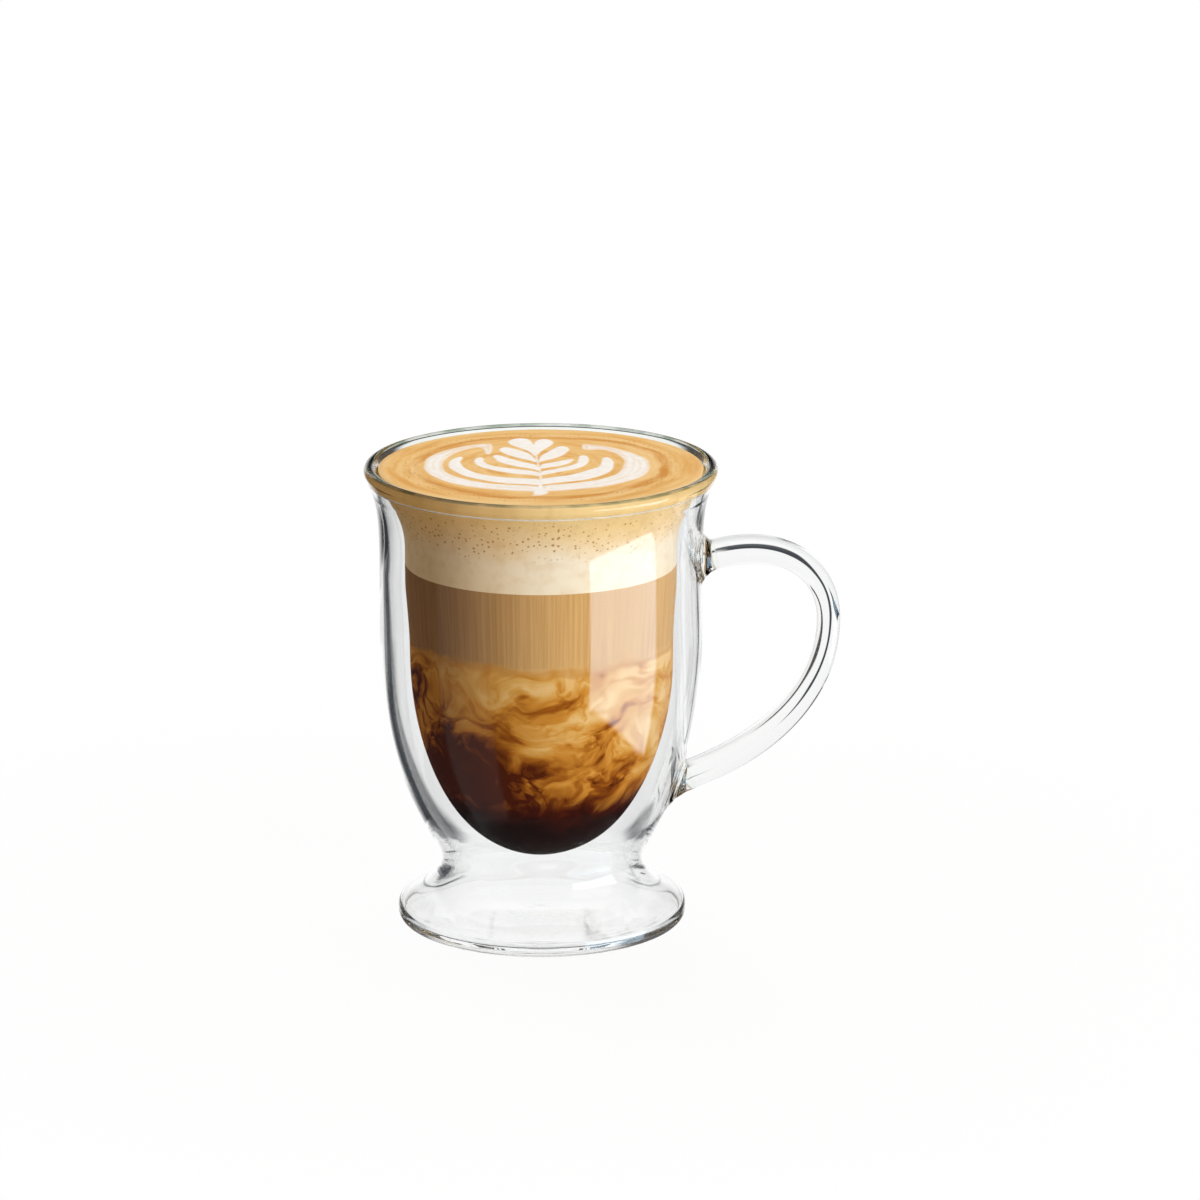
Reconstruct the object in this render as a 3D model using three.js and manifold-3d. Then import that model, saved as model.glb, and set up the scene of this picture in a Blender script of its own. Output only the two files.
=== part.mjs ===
// Double walled glass latte mug: a blown outer wall on a hollow foot, an inner bell that holds the
// drink, a fused lip, a strap handle welded on at both ends, and a layered latte with a poured rosetta.
// Millimetres, +Z up. The origin lies on the mug's axis, in the plane that the mug stands on.
// The handle points along +X.
import * as THREE from 'three';
import { mergeVertices } from 'three/addons/utils/BufferGeometryUtils.js';
import Module from 'manifold-3d';

const wasm = await Module();
wasm.setup();

// Outer wall
const mugHeight = 118;
const rimRadius = 44.2;
const flareDepth = 24.9;
const barrelRadius = 40.45;
const barrelLength = 17;
const waistRadius = 25.7;
const waistHeight = 15.5;
const footRadius = 36.4;
const footEdgeHeight = 3.4;
const outerWall = 1.6;

// Foot floor and the melted plug that closes its vent hole
const baseThickness = 2.4;
const baseEdgeRound = 2;
const ventRadius = 3;
const ventClearance = 0.3;
const sealButtonRadius = 5.8;
const sealButtonHeight = 1.1;

// Lip, where both walls are fused
const lipRadius = 1.5;
const lipSeamDepth = 3.8;
const outerLipLean = THREE.MathUtils.degToRad(24);
const innerLipLean = THREE.MathUtils.degToRad(44);

// Inner bell
const noseHeight = 16.9;
const bellRadius = 33.15;
const bellSideLength = 25.5;
const throatRadius = 34.25;
const throatDepth = 21.9;
const innerWall = 1.6;

// Handle, a strap of oval section
const handleThickness = 6.5;
const handleWidth = 10;
const handleReach = 31.6;
const handleTopDepth = 24.35;
const handleSpan = 57.85;
const handleShoulderDrop = 16.5;
const handleTopRise = THREE.MathUtils.degToRad(14.8);
const handleLowRise = THREE.MathUtils.degToRad(21.1);
const weldLength = 3.6;
const weldFillet = 2.1;
const weldGap = 0.3;

// Drink, in layers from the top down
const fillDepth = 0.9;
const cremaDepth = 9;
const foamDepth = 15;
const milkCoffeeDepth = 18;
const marbledDepth = 37;
const drinkClearance = 0.3;
const artThickness = 0.4;
const artRadius = 29;

// Fullness of each curved stretch, as a share of the stretch that it shapes
const footFullness = 0.33;
const waistFullnessBelow = 0.61;
const waistFullnessAbove = 0.125;
const barrelFullness = 0.715;
const flareFullness = 0.645;
const lipFullness = 0.27;
const noseFullness = 0.62;
const bellFullness = 0.54;
const sideFullness = 0.31;
const throatFullness = 0.4;
const handleTopFullness = [0.575, 0.84];
const handleLowFullness = [0.57, 0.42];

// Facets of round sections and of each curved stretch
const roundSegments = 36;
const sectionSegments = 16;
const handleSteps = 28;
const domeSteps = 7;
const bodySteps = 7;
const flareSteps = 5;
const noseSteps = 8;
const bellSideSteps = 2;
const lipSteps = 7;
const edgeSteps = 4;
const weldSteps = 5;
const leafSteps = 7;
const mergeDistance = 1e-4;

const lipCentre = new THREE.Vector2(rimRadius - lipRadius, mugHeight - lipRadius);
const lipSeam = mugHeight - lipSeamDepth;
const drinkLevel = mugHeight - fillDepth;

const glass = new THREE.MeshStandardMaterial({
  color: 0xe9f0ea, roughness: 0.02, metalness: 0, transparent: true, opacity: 0.35,
});

function liquid(color) {
  return new THREE.MeshStandardMaterial({ color, roughness: 0.45, metalness: 0 });
}

// Outlines are lists of (radius, height) points that run upwards

function bend(start, startPull, endPull, end, pieces) {
  const from = start.clone().add(startPull);
  const to = end.clone().sub(endPull);
  return new THREE.CubicBezierCurve(start, from, to, end).getPoints(pieces);
}

function point(radius, height) {
  return new THREE.Vector2(radius, height);
}

function chain(...stretches) {
  return stretches.reduce((path, next) => path.concat(next.slice(1)));
}

// The path moved inwards by a wall's thickness; a point on the axis moves straight up
function offset(path, distance) {
  const moved = path.map((here, i) => {
    if (here.x === 0) {
      return point(0, here.y + distance);
    }
    const before = path[Math.max(i - 1, 0)];
    const after = path[Math.min(i + 1, path.length - 1)];
    const along = after.clone().sub(before).normalize();
    return point(here.x - along.y * distance, here.y + along.x * distance);
  });
  return moved.filter((here, i) => i === 0 || here.y > moved[i - 1].y);
}

function radiusAt(path, height) {
  const i = path.findIndex((here, k) => k > 0 && here.y >= height);
  const share = (height - path[i - 1].y) / (path[i].y - path[i - 1].y);
  return THREE.MathUtils.lerp(path[i - 1].x, path[i].x, share);
}

function stretch(path, low, high) {
  const inside = path.filter((here) => here.y > low && here.y < high);
  return [point(radiusAt(path, low), low), ...inside, point(radiusAt(path, high), high)];
}

function onLip(angle, radius = lipRadius) {
  return point(lipCentre.x + radius * Math.cos(angle), lipCentre.y + radius * Math.sin(angle));
}

function up(length) {
  return point(0, length);
}

function outerOutline() {
  const foot = point(footRadius, footEdgeHeight);
  const waist = point(waistRadius, waistHeight);
  const flare = point(barrelRadius, mugHeight - flareDepth);
  const barrel = point(barrelRadius, flare.y - barrelLength);
  const lip = onLip(-outerLipLean);
  const lean = point(Math.sin(outerLipLean), Math.cos(outerLipLean));
  const domeRise = waist.y - foot.y;
  const bodyRise = barrel.y - waist.y;
  const flareRise = lip.y - flare.y;
  return chain(
    [point(footRadius, baseThickness), foot],
    bend(foot, up(footFullness * domeRise), up(waistFullnessBelow * domeRise), waist, domeSteps),
    bend(waist, up(waistFullnessAbove * bodyRise), up(barrelFullness * bodyRise), barrel, bodySteps),
    [barrel, flare],
    bend(flare, up(flareFullness * flareRise), lean.setLength(lipFullness * flareRise), lip, flareSteps),
  );
}

function bellOutline() {
  const nose = point(0, noseHeight);
  const throat = point(throatRadius, mugHeight - throatDepth);
  const side = point(bellRadius, throat.y - bellSideLength);
  const lipAngle = Math.PI - innerLipLean;
  const lip = onLip(lipAngle, lipRadius - innerWall);
  const lean = point(Math.sin(innerLipLean), Math.cos(innerLipLean));
  const noseRise = side.y - nose.y;
  const flareRise = lip.y - throat.y;
  const sidePull = up(sideFullness * bellSideLength);
  return chain(
    bend(nose, point(noseFullness * bellRadius, 0), up(bellFullness * noseRise), side, noseSteps),
    bend(side, sidePull, sidePull, throat, bellSideSteps),
    bend(throat, up(throatFullness * flareRise), lean.setLength(throatFullness * flareRise), lip, flareSteps),
  );
}

const outerPath = outerOutline();
const outerInsidePath = offset(outerPath, outerWall);
const bellPath = bellOutline();
const bellInsidePath = offset(bellPath, innerWall);
const drinkPath = offset(bellPath, innerWall + drinkClearance);

// A turned solid, from a closed section that runs anticlockwise when radius points right
function turned(section, segments = roundSegments) {
  const closed = section[0].x > 0 ? [...section, section[0]] : section;
  return new THREE.LatheGeometry(closed, segments).rotateX(Math.PI / 2);
}

function toSolid(geometry) {
  const bare = geometry.clone();
  bare.deleteAttribute('normal');
  bare.deleteAttribute('uv');
  const merged = mergeVertices(bare, mergeDistance);
  const corners = merged.index.array;
  const kept = [];
  for (let i = 0; i < corners.length; i += 3) {
    const [a, b, c] = corners.slice(i, i + 3);
    if (a !== b && b !== c && c !== a) {
      kept.push(a, b, c);
    }
  }
  return new wasm.Manifold(new wasm.Mesh({
    numProp: 3,
    vertProperties: new Float32Array(merged.attributes.position.array),
    triVerts: new Uint32Array(kept),
  }));
}

function toGeometry(solid) {
  const mesh = solid.getMesh();
  const geometry = new THREE.BufferGeometry();
  geometry.setAttribute('position', new THREE.BufferAttribute(mesh.vertProperties, 3));
  geometry.setIndex(new THREE.BufferAttribute(mesh.triVerts, 1));
  geometry.computeVertexNormals();
  return geometry;
}

// Glass body

function outerShell() {
  const outside = stretch(outerPath, baseThickness, lipSeam);
  const inside = stretch(outerInsidePath, baseThickness, lipSeam);
  return turned([...outside, ...inside.reverse()]);
}

function innerBell() {
  const outside = bellPath.filter((here) => here.y < lipSeam);
  const inside = bellInsidePath.filter((here) => here.y < lipSeam);
  const outsideEnd = point(radiusAt(bellPath, lipSeam), lipSeam);
  const insideEnd = point(radiusAt(bellInsidePath, lipSeam), lipSeam);
  return turned([...outside, outsideEnd, insideEnd, ...inside.reverse()]);
}

function lipBead() {
  const outside = stretch(outerPath, lipSeam, outerPath.at(-1).y);
  const inside = stretch(bellInsidePath, lipSeam, bellInsidePath.at(-1).y);
  const arcStart = -outerLipLean;
  const arcEnd = Math.PI - innerLipLean;
  const crown = [];
  for (let i = 1; i < lipSteps; i += 1) {
    crown.push(onLip(THREE.MathUtils.lerp(arcStart, arcEnd, i / lipSteps)));
  }
  return turned([...outside, ...crown, ...inside.reverse()]);
}

function baseDisc() {
  const edge = [];
  for (let i = 0; i <= edgeSteps; i += 1) {
    const angle = (i / edgeSteps) * (Math.PI / 2);
    const radius = footRadius - baseEdgeRound * (1 - Math.sin(angle));
    edge.push(point(radius, baseEdgeRound * (1 - Math.cos(angle))));
  }
  return turned([
    point(ventRadius, 0),
    ...edge,
    point(footRadius, baseThickness),
    point(ventRadius, baseThickness),
  ]);
}

function ventSeal() {
  const plugRadius = ventRadius - ventClearance;
  const crown = [];
  for (let i = 0; i <= edgeSteps; i += 1) {
    const angle = (i / edgeSteps) * (Math.PI / 2);
    const height = baseThickness + sealButtonHeight * Math.sin(angle);
    crown.push(point(sealButtonRadius * Math.cos(angle), height));
  }
  crown.at(-1).x = 0;
  return turned([
    point(0, 0),
    point(plugRadius, 0),
    point(plugRadius, baseThickness),
    ...crown,
  ], sectionSegments);
}

// Handle

const handleTop = {
  height: mugHeight - handleTopDepth,
  rise: handleTopRise,
};
const handleLow = {
  height: mugHeight - handleTopDepth - handleSpan,
  rise: handleLowRise,
};

// Each end lies a weld's length off the wall and looks away from it
for (const end of [handleTop, handleLow]) {
  const wall = new THREE.Vector3(radiusAt(outerPath, end.height), 0, end.height);
  end.outward = new THREE.Vector3(Math.cos(end.rise), 0, Math.sin(end.rise));
  end.start = wall.addScaledVector(end.outward, weldLength);
}

function handleCurve() {
  const reach = barrelRadius + handleReach;
  const shoulder = new THREE.Vector3(reach, 0, handleTop.start.z - handleShoulderDrop);
  const topRun = reach - handleTop.start.x;
  const lowRun = reach - handleLow.start.x;
  const lowDrop = shoulder.z - handleLow.start.z;
  const route = new THREE.CurvePath();
  route.add(new THREE.CubicBezierCurve3(
    handleTop.start,
    handleTop.start.clone().addScaledVector(handleTop.outward, handleTopFullness[0] * topRun),
    new THREE.Vector3(reach, 0, shoulder.z + handleTopFullness[1] * handleShoulderDrop),
    shoulder,
  ));
  route.add(new THREE.CubicBezierCurve3(
    shoulder,
    new THREE.Vector3(reach, 0, shoulder.z - handleLowFullness[0] * lowDrop),
    handleLow.start.clone().addScaledVector(handleLow.outward, handleLowFullness[1] * lowRun),
    handleLow.start,
  ));
  return route;
}

function handleStrap() {
  const section = new THREE.Shape();
  section.absellipse(0, 0, handleWidth / 2, handleThickness / 2, 0, 2 * Math.PI);
  return new THREE.ExtrudeGeometry(section, {
    steps: handleSteps,
    curveSegments: sectionSegments / 2,
    extrudePath: handleCurve(),
    bevelEnabled: false,
  });
}

// A weld swells from the strap's section to a wider foot that follows the wall
function handleWeld(end) {
  const buried = 2 * outerWall;
  const length = weldLength + buried;
  const fillet = weldFillet / (handleThickness / 2);
  const profile = [point(0, weldGap)];
  for (let i = 0; i <= weldSteps; i += 1) {
    const along = THREE.MathUtils.lerp(weldGap, length, i / weldSteps);
    const swell = 1 + fillet * Math.min(along / weldLength, 1) ** 2;
    profile.push(point(swell, along));
  }
  profile.push(point(0, length));
  const inward = end.outward.clone().negate();
  const across = new THREE.Vector3(0, 1, 0);
  const normal = new THREE.Vector3().crossVectors(inward, across);
  const place = new THREE.Matrix4().makeBasis(normal, inward, across).setPosition(end.start);
  const bead = new THREE.LatheGeometry(profile, sectionSegments)
    .scale(handleThickness / 2, 1, handleWidth / 2)
    .applyMatrix4(place);
  const wallPath = offset(outerPath, -weldGap);
  const wall = turned([
    point(0, wallPath[0].y),
    ...wallPath,
    point(0, wallPath.at(-1).y),
  ]);
  return toGeometry(toSolid(bead).subtract(toSolid(wall)));
}

// Drink

function drinkLayer(low, high) {
  const side = stretch(drinkPath, low, high);
  return turned([point(0, low), ...side, point(0, high)]);
}

function espressoBowl(high) {
  const side = drinkPath.filter((here) => here.y < high);
  return turned([...side, point(radiusAt(drinkPath, high), high), point(0, high)]);
}

// Plan of the rosetta, in hundredths of its radius: leaves that nest along one stem on both sides, with a
// heart of two lobes at the far end. Each leaf runs from its lower join with the stem along a curve to its
// tip, and back along another curve to its upper join; two control points shape each curve.
const leftLeaves = [
  [[0, -87], [-62, -91], [-159, 17], [-45, 82], [-100, 34], [-97, -62], [-2, -67]],
  [[-1, -59], [-41, -60], [-97, -17], [-68, 39], [-71, -10], [-31, -34], [-2, -43]],
  [[-1, -30], [-31, -24], [-66, 0], [-52, 33], [-47, 7], [-21, -10], [-2, -19]],
  [[-1, -9], [-17, 0], [-43, 16], [-38, 39], [-31, 29], [-12, 14], [-3, 0]],
  [[-2, 21], [-17, 29], [-38, 48], [-32, 68], [-22, 66], [-9, 41], [-3, 28]],
  [[-3, 45], [-12, 66], [-36, 83], [-17, 103], [-8, 103], [-7, 76], [-4, 52]],
];
const rightLeaves = [
  [[3, -86], [48, -86], [169, 14], [38, 78], [83, 34], [90, -55], [3, -67]],
  [[2, -58], [28, -55], [83, -17], [58, 34], [54, -3], [24, -28], [2, -41]],
  [[1, -30], [21, -21], [52, 5], [39, 39], [34, 14], [17, -5], [1, -16]],
  [[1, -7], [16, 0], [28, 12], [32, 30], [19, 24], [5, 14], [1, 3]],
  [[0, 28], [14, 36], [33, 55], [21, 71], [14, 69], [3, 45], [0, 34]],
  [[-2, 45], [9, 62], [19, 90], [4, 99], [-5, 98], [-4, 76], [-3, 55]],
];
const stem = [[-6, 60], [-2, -76], [-6, -86], [-1, -102], [7, -86], [4, -76], [-1, 60]];

function planPoints(rows) {
  return rows.map(([x, y]) => new THREE.Vector2(x, y).multiplyScalar(artRadius / 100));
}

function leafShape(rows) {
  const [low, lowPull, tipPull, tip, backPull, highPull, high] = planPoints(rows);
  const shape = new THREE.Shape();
  shape.moveTo(low.x, low.y);
  shape.bezierCurveTo(lowPull.x, lowPull.y, tipPull.x, tipPull.y, tip.x, tip.y);
  shape.bezierCurveTo(backPull.x, backPull.y, highPull.x, highPull.y, high.x, high.y);
  return shape;
}

function rosetta() {
  const leaves = [...leftLeaves, ...rightLeaves].map(leafShape);
  const shapes = [new THREE.Shape(planPoints(stem)), ...leaves];
  const solids = shapes.map((shape) => toSolid(new THREE.ExtrudeGeometry(shape, {
    depth: artThickness, curveSegments: leafSteps, bevelEnabled: false,
  })));
  const figure = solids.reduce((whole, next) => whole.add(next));
  return toGeometry(figure).translate(0, 0, drinkLevel);
}

// Assembly

const mug = new THREE.Group();

function place(name, geometry, material) {
  const mesh = new THREE.Mesh(geometry, material);
  mesh.name = name;
  mug.add(mesh);
}

const cremaLow = drinkLevel - cremaDepth;
const foamLow = cremaLow - foamDepth;
const milkCoffeeLow = foamLow - milkCoffeeDepth;
const marbledLow = milkCoffeeLow - marbledDepth;

place('outer_shell', outerShell(), glass);
place('inner_bell', innerBell(), glass);
place('lip_bead', lipBead(), glass);
place('base_disc', baseDisc(), glass);
place('vent_seal', ventSeal(), glass);
place('handle_strap', handleStrap(), glass);
place('handle_upper_weld', handleWeld(handleTop), glass);
place('handle_lower_weld', handleWeld(handleLow), glass);
place('espresso', espressoBowl(marbledLow), liquid(0x2a0f05));
place('marbled_coffee', drinkLayer(marbledLow, milkCoffeeLow), liquid(0x9a5b22));
place('milk_coffee', drinkLayer(milkCoffeeLow, foamLow), liquid(0xb98a56));
place('milk_foam', drinkLayer(foamLow, cremaLow), liquid(0xe6d3ad));
place('crema', drinkLayer(cremaLow, drinkLevel), liquid(0xdfab66));
place('latte_art', rosetta(), liquid(0xf3ede4));

export default mug;
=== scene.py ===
"""Looks of the double walled latte mug: clear blown glass round a layered latte with a poured rosetta."""
import math

import bpy
import numpy as np
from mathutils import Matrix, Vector


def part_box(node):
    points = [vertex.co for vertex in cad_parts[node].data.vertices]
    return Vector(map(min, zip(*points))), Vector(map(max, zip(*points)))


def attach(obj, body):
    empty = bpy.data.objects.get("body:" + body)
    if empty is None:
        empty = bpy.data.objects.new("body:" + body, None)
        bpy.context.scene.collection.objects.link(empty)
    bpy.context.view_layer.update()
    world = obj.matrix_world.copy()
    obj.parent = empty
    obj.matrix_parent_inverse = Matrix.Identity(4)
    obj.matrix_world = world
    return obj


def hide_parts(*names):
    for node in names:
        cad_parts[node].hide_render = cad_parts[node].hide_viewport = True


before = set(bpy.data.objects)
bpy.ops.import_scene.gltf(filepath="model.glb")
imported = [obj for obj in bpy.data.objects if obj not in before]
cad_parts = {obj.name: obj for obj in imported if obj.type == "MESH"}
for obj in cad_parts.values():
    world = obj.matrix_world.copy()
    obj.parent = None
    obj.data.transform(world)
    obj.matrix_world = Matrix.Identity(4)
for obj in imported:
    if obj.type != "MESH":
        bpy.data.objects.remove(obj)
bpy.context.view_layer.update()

MM = 0.001

# Sizes that the frame gives, in millimetres
lip_low, lip_high = (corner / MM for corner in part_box("lip_bead"))
_, disc_high = (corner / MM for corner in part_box("base_disc"))
_, seal_high = (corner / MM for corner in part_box("vent_seal"))
bell_low, _ = (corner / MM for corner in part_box("inner_bell"))
_, crema_high = (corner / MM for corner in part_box("crema"))
MUG_HEIGHT = lip_high.z
RIM_RADIUS = lip_high.x
LIP_SEAM = lip_low.z
FOOT_RADIUS = disc_high.x
BASE_THICKNESS = disc_high.z
SEAL_RADIUS = seal_high.x
SEAL_TOP = seal_high.z
NOSE_HEIGHT = bell_low.z
DRINK_LEVEL = crema_high.z
LAYERS = {
    name: tuple(corner.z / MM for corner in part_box(name))
    for name in ("espresso", "marbled_coffee", "milk_coffee", "milk_foam", "crema")
}

# Shape of the walls, as the frame's own outlines have it
WALL = 1.6
FOOT_EDGE = 3.4
BASE_EDGE_ROUND = 2.0
VENT_RADIUS = 3.0
WAIST = (25.7, 15.5)
BARREL = (40.45, 76.1)
FLARE_START = 93.1
LIP_RADIUS = 1.5
OUTER_LIP_LEAN = math.radians(24)
INNER_LIP_LEAN = math.radians(44)
BELL_SIDE = (33.15, 70.6)
THROAT = (34.25, 96.1)

# Pulls at the ends of the outlines' curves, as shares of their rise or of the nose's radius
FOOT_PULLS = (0.33, 0.61)
BODY_PULLS = (0.125, 0.715)
FLARE_PULLS = (0.645, 0.27)
NOSE_PULLS = (0.62, 0.54)
SIDE_PULL = 0.31
THROAT_PULL = 0.4

# Where the scene departs from them: a fillet and a dish in the foot's floor, a share of the plug's dome,
# and glass that the outer wall gains on its inside, which draws its dark edge lines
FOOT_FILLET = 0.3
FLOOR_DISH = 0.4
SEAL_DOME = 0.2
BODY_GAIN = 0.6
BODY_GAIN_FROM = (3, 12)
BODY_GAIN_TO = (112, 92)
WAIST_GAIN = 0.7
WAIST_GAIN_FROM = (4, 9)
WAIST_GAIN_HEIGHT = 13.0
WAIST_GAIN_REACH = 9.0

# Handle strap and its welds
STRAP_THICKNESS = 6.5
STRAP_SWELL = 0.35
STRAP_END_HALF = (STRAP_THICKNESS + STRAP_SWELL) / 2
STRAP_WIDTH = 10.0
STRAP_REACH = 72.05
STRAP_SHOULDER_DROP = 16.5
STRAP_TOP = (93.65, math.radians(14.8))
STRAP_LOW = (35.8, math.radians(21.1))
SHOULDER_PULLS = (0.575, 0.84)
LOW_PULLS = (0.57, 0.42)
OVAL = 2.8
OVAL_POINTS = 72
WELD_LENGTH = 3.6
WELD_SPREAD = 1.72
WELD_FLARE = 2.3
WELD_RINGS = 41
WELD_RIPPLE = 0.01
WELD_FOOT = (0.8, 0.6, 0.4, 0.2, 0.05)
WELD_FARTHEST = 16.0
WELD_COVER = 0.99
HALVINGS = 40
HANDLE_ARC = 16

# Fine fits: fused faces lie a hair apart, the drink wets the glass, and its edge draws in under the lip
HAIR = 0.02
WETTING = 0.12
DRINK_EDGE_START = 115.9
DRINK_EDGE_RISE = 0.5
DRINK_EDGE_PULL = 0.5
CREMA_EDGE = 0.3
CREMA_EDGE_STEP = 0.1
CREMA_EDGE_FADE = 0.5

ROUND = 192
CREASE = math.radians(32)
TINY = 1e-6


# Outlines: rows of (radius, height) that run upwards

def row(*values):
    return np.array(values, float)


def cubic(a, b, c, d, steps):
    t = np.linspace(0, 1, steps + 1)[:, None]
    return (1 - t) ** 3 * a + 3 * (1 - t) ** 2 * t * b + 3 * (1 - t) * t ** 2 * c + t ** 3 * d


def bend(start, start_pull, end_pull, end, steps):
    return cubic(start, start + start_pull, end - end_pull, end, steps)


def join(*stretches):
    return np.concatenate([stretches[0]] + [part[1:] for part in stretches[1:]])


def inset(path, distance):
    """The path moved inwards; a point on the axis moves straight up."""
    along = np.gradient(path, axis=0)
    along /= np.linalg.norm(along, axis=1)[:, None]
    depth = np.broadcast_to(distance, len(path))[:, None]
    moved = path + depth * np.stack([-along[:, 1], along[:, 0]], 1)
    on_axis = path[:, 0] == 0
    moved[on_axis] = path[on_axis] + depth[on_axis] * row(0, 1)
    rising = np.concatenate([[True], np.diff(moved[:, 1]) > TINY])
    return moved[rising]


def radius_at(path, height):
    return np.interp(height, path[:, 1], path[:, 0])


def stretch(path, low, high):
    inside = path[(path[:, 1] > low + TINY) & (path[:, 1] < high - TINY)]
    ends = [row(radius_at(path, z), z) for z in (low, high)]
    return np.vstack([ends[0], inside, ends[1]])


def below(path, high):
    """The path from its start up to a height, where it is cut level."""
    return np.vstack([path[path[:, 1] < high - TINY], row(radius_at(path, high), high)])


def ease(value, low, high):
    """Smooth climb from 0 to 1 between low and high."""
    share = np.clip((value - low) / (high - low), 0, 1)
    return share * share * (3 - 2 * share)


LIP_CENTRE = row(RIM_RADIUS - LIP_RADIUS, MUG_HEIGHT - LIP_RADIUS)


def on_lip(angle, radius=LIP_RADIUS):
    return LIP_CENTRE + radius * row(math.cos(angle), math.sin(angle))


def outer_outline():
    foot = row(FOOT_RADIUS, FOOT_EDGE)
    waist = row(*WAIST)
    barrel = row(*BARREL)
    flare = row(BARREL[0], FLARE_START)
    lip = on_lip(-OUTER_LIP_LEAN)
    lean = row(math.sin(OUTER_LIP_LEAN), math.cos(OUTER_LIP_LEAN))
    dome_rise = waist[1] - foot[1]
    body_rise = barrel[1] - waist[1]
    flare_rise = lip[1] - flare[1]
    return join(
        np.linspace(row(FOOT_RADIUS, BASE_THICKNESS), foot, 4),
        bend(foot, *np.outer(FOOT_PULLS, row(0, dome_rise)), waist, 44),
        bend(waist, *np.outer(BODY_PULLS, row(0, body_rise)), barrel, 90),
        np.linspace(barrel, flare, 24),
        bend(flare, row(0, FLARE_PULLS[0] * flare_rise), lean * FLARE_PULLS[1] * flare_rise, lip, 36),
    )


def bell_outline():
    nose = row(0, NOSE_HEIGHT)
    side = row(*BELL_SIDE)
    throat = row(*THROAT)
    lip = on_lip(math.pi - INNER_LIP_LEAN, LIP_RADIUS - WALL)
    lean = row(math.sin(INNER_LIP_LEAN), math.cos(INNER_LIP_LEAN))
    nose_rise = side[1] - nose[1]
    flare_rise = lip[1] - throat[1]
    side_pull = row(0, SIDE_PULL * (throat[1] - side[1]))
    return join(
        bend(nose, row(NOSE_PULLS[0] * BELL_SIDE[0], 0), row(0, NOSE_PULLS[1] * nose_rise), side, 90),
        bend(side, side_pull, side_pull, throat, 24),
        bend(throat, row(0, THROAT_PULL * flare_rise), lean * THROAT_PULL * flare_rise, lip, 40),
    )


def outer_gain(height):
    """Glass that the outer wall gains on its inside at a height."""
    body = BODY_GAIN * ease(height, *BODY_GAIN_FROM) * ease(height, *BODY_GAIN_TO)
    swell = np.exp(-((height - WAIST_GAIN_HEIGHT) / WAIST_GAIN_REACH) ** 2)
    return body + WAIST_GAIN * swell * ease(height, *WAIST_GAIN_FROM)


OUTER = outer_outline()
OUTER_INSIDE = inset(OUTER, WALL + outer_gain(OUTER[:, 1]))
BELL = bell_outline()
BELL_INSIDE = inset(BELL, WALL)
DRINK = inset(BELL, WALL - WETTING)
DRINK[:, 0] -= DRINK_EDGE_PULL * np.clip((DRINK[:, 1] - DRINK_EDGE_START) / DRINK_EDGE_RISE, 0, 1)


# Meshes

def add_object(name, data):
    made = bpy.data.objects.new(name, data)
    bpy.context.scene.collection.objects.link(made)
    return made


def add_mesh(name, points, faces, materials, zones=None):
    """A smooth mesh from points in millimetres; zones gives each face's material."""
    mesh = bpy.data.meshes.new(name)
    mesh.from_pydata((np.asarray(points) * MM).tolist(), [], faces)
    for material in materials:
        mesh.materials.append(material)
    if zones is not None:
        mesh.polygons.foreach_set("material_index", np.asarray(zones, np.int32))
    mesh.polygons.foreach_set("use_smooth", np.ones(len(mesh.polygons), bool))
    mesh.validate()
    mesh.set_sharp_from_angle(angle=CREASE)
    mesh.update()
    return add_object(name, mesh)


def turned(name, section, materials, zones=None, angles=None, wobble=None, face_zone=None):
    """A turned solid from a section that runs anticlockwise; zones gives each section edge's material."""
    section = np.asarray(section, float)
    on_axis = section[0, 0] == 0
    if angles is None:
        angles = np.linspace(0, 2 * math.pi, ROUND, endpoint=False)
    count, turns = len(section), len(angles)
    points, rings = [], []
    for i, (r, z) in enumerate(section):
        if r == 0:
            rings.append([len(points)])
            points.append((0.0, 0.0, z))
            continue
        rr, zz = np.full(turns, r), np.full(turns, z)
        if wobble is not None:
            rr, zz = wobble(i, rr, zz, angles)
        rings.append(list(range(len(points), len(points) + turns)))
        points.extend(zip(rr * np.cos(angles), rr * np.sin(angles), zz))
    faces, face_zones = [], []
    edges = count - 1 if on_axis else count
    for i in range(edges):
        here, there = rings[i], rings[(i + 1) % count]
        for k in range(turns):
            n = (k + 1) % turns
            corners = [
                here[k % len(here)], here[n % len(here)], there[n % len(there)], there[k % len(there)],
            ]
            faces.append(list(dict.fromkeys(corners)))
            face_zones.append(0 if zones is None else zones[i])
    points = np.array(points)
    if face_zone is not None:
        for f, corners in enumerate(faces):
            face_zones[f] = face_zone(points[corners].mean(0), face_zones[f])
    return add_mesh(name, points, faces, materials, face_zones)


def zones_of(*runs):
    """Material numbers of a section's edges, from (count, material) runs."""
    return [material for count, material in runs for _ in range(count)]


# Shader graphs

def linear(r, g, b):
    """A colour picked on screen, 0 to 255, as shaders take it."""
    def channel(value):
        share = value / 255
        return share / 12.92 if share <= 0.04045 else ((share + 0.055) / 1.055) ** 2.4
    return (channel(r), channel(g), channel(b), 1.0)


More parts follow.
